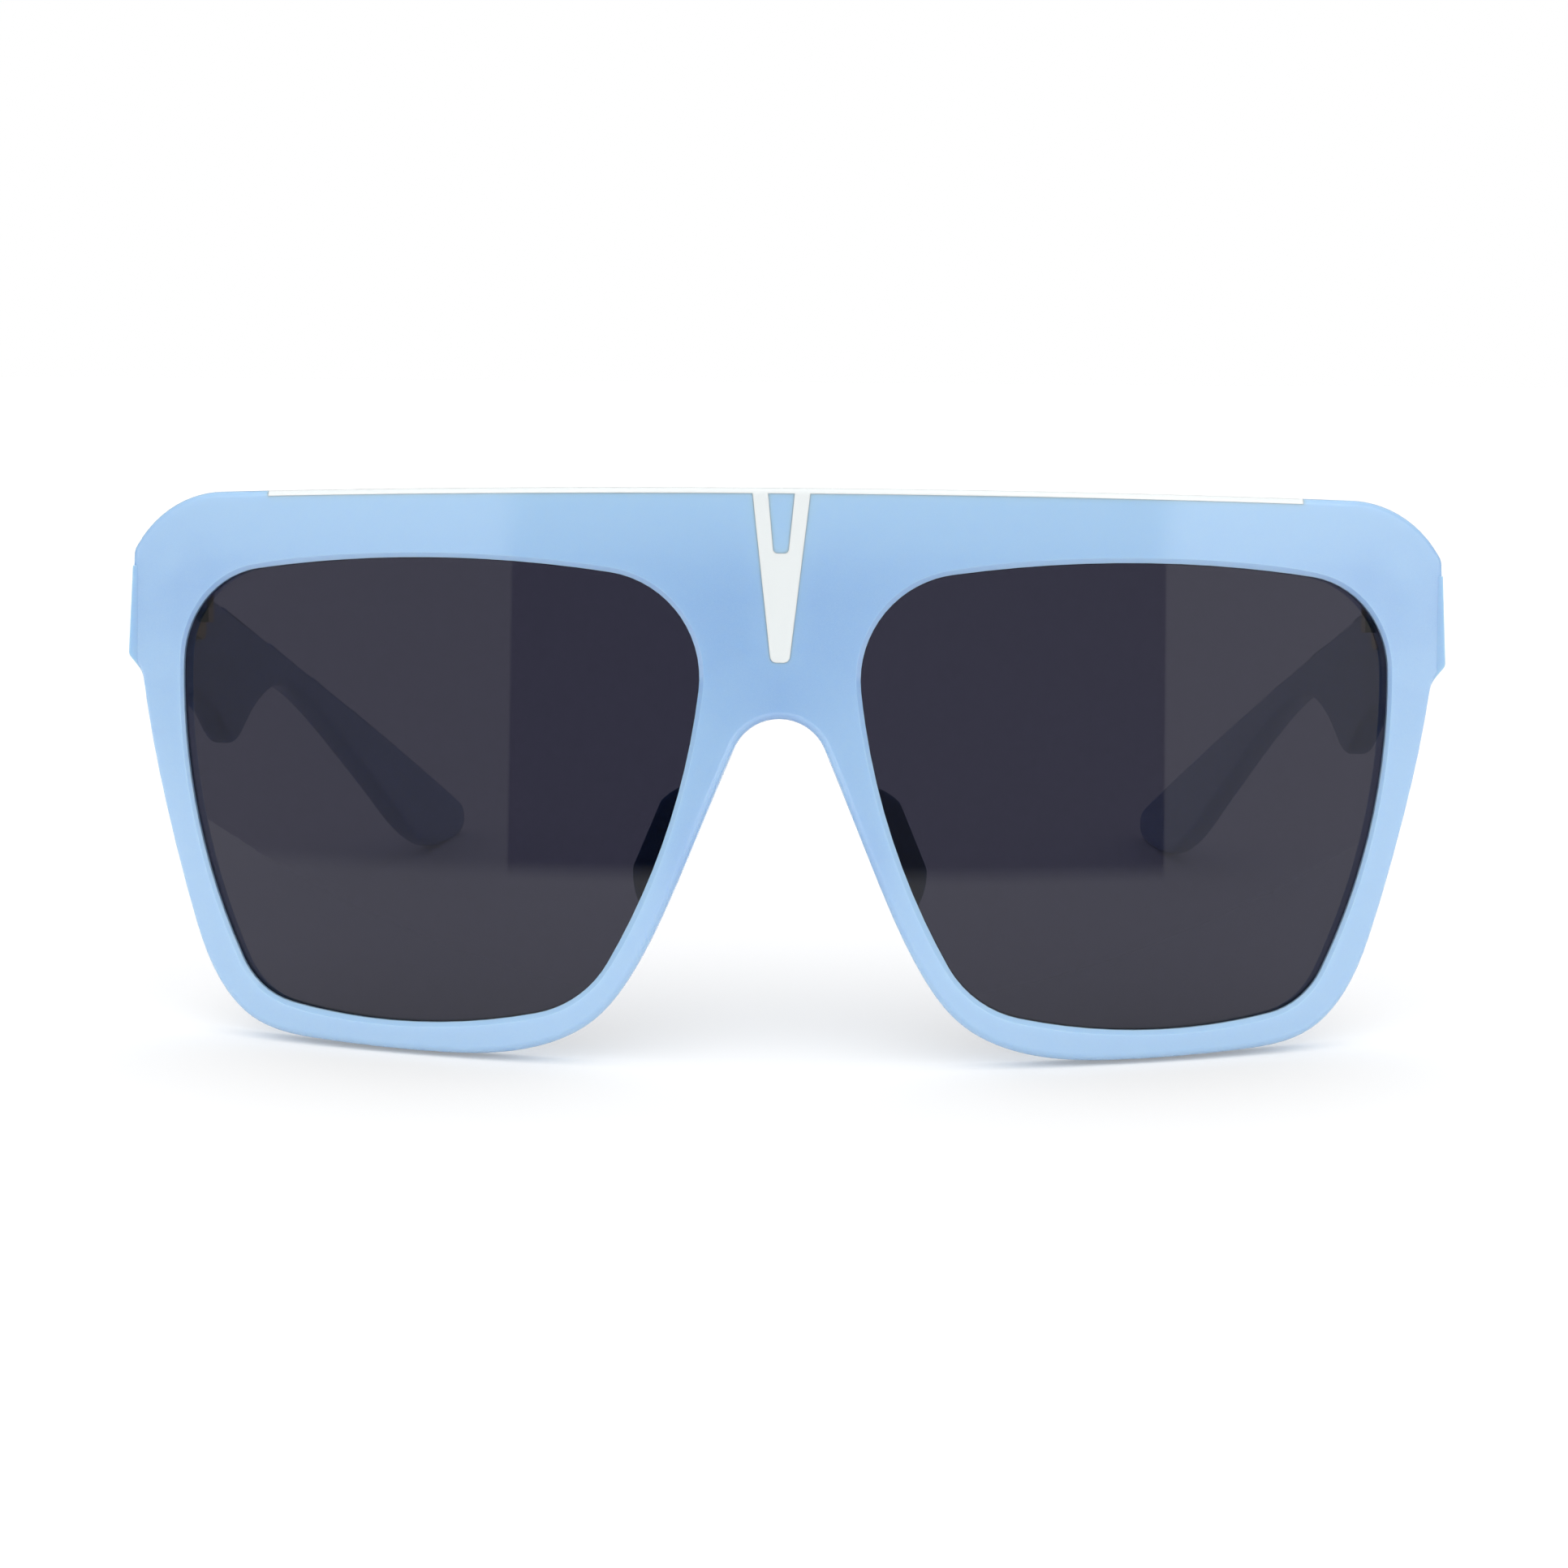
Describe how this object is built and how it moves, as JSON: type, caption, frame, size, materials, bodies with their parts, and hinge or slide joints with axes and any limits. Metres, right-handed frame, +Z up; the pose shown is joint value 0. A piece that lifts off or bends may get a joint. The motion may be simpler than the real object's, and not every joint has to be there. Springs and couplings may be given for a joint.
{
  "type": "sunglasses",
  "caption": "Flat top sunglasses with a curved one-piece front, tinted lenses, moulded nose pads, a pale inlaid brow bar and two folding temples.",
  "frame": {"origin": "on the table, under the middle of the pair as it stands with open temples", "axes": "+X across the face, +Y from the lenses back towards the ears, +Z up"},
  "size_m": [0.15, 0.159, 0.0623],
  "materials": {
    "blue_plastic": "milky pale blue, polished",
    "pale_plastic": "off-white, polished",
    "tinted_lens": "dark grey tint, polished",
    "hinge_metal": "satin"
  },
  "bodies": {
    "front": {"front_frame": "blue_plastic", "brow_inlay": "pale_plastic", "lens_left": "tinted_lens", "lens_right": "tinted_lens", "front_hinge_left": "hinge_metal", "front_hinge_right": "hinge_metal", "hinge_screw_left": "hinge_metal", "hinge_screw_right": "hinge_metal", "front_rivets_left": "hinge_metal", "front_rivets_right": "hinge_metal"},
    "left_temple": {"temple_left": "blue_plastic", "temple_hinge_left": "hinge_metal", "temple_rivets_left": "hinge_metal"},
    "right_temple": {"temple_right": "blue_plastic", "temple_hinge_right": "hinge_metal", "temple_rivets_right": "hinge_metal"}
  },
  "joints": [
    {"name": "left_temple_fold", "type": "hinge", "parent": "front", "child": "left_temple", "pos_m": [-0.0673, -0.05111, 0.04758], "axis": [0, -0.108, -0.9942], "range_deg": [0, 83]},
    {"name": "right_temple_fold", "type": "hinge", "parent": "front", "child": "right_temple", "pos_m": [0.0673, -0.05111, 0.04758], "axis": [0, 0.108, 0.9942], "range_deg": [0, 77]}
  ]
}
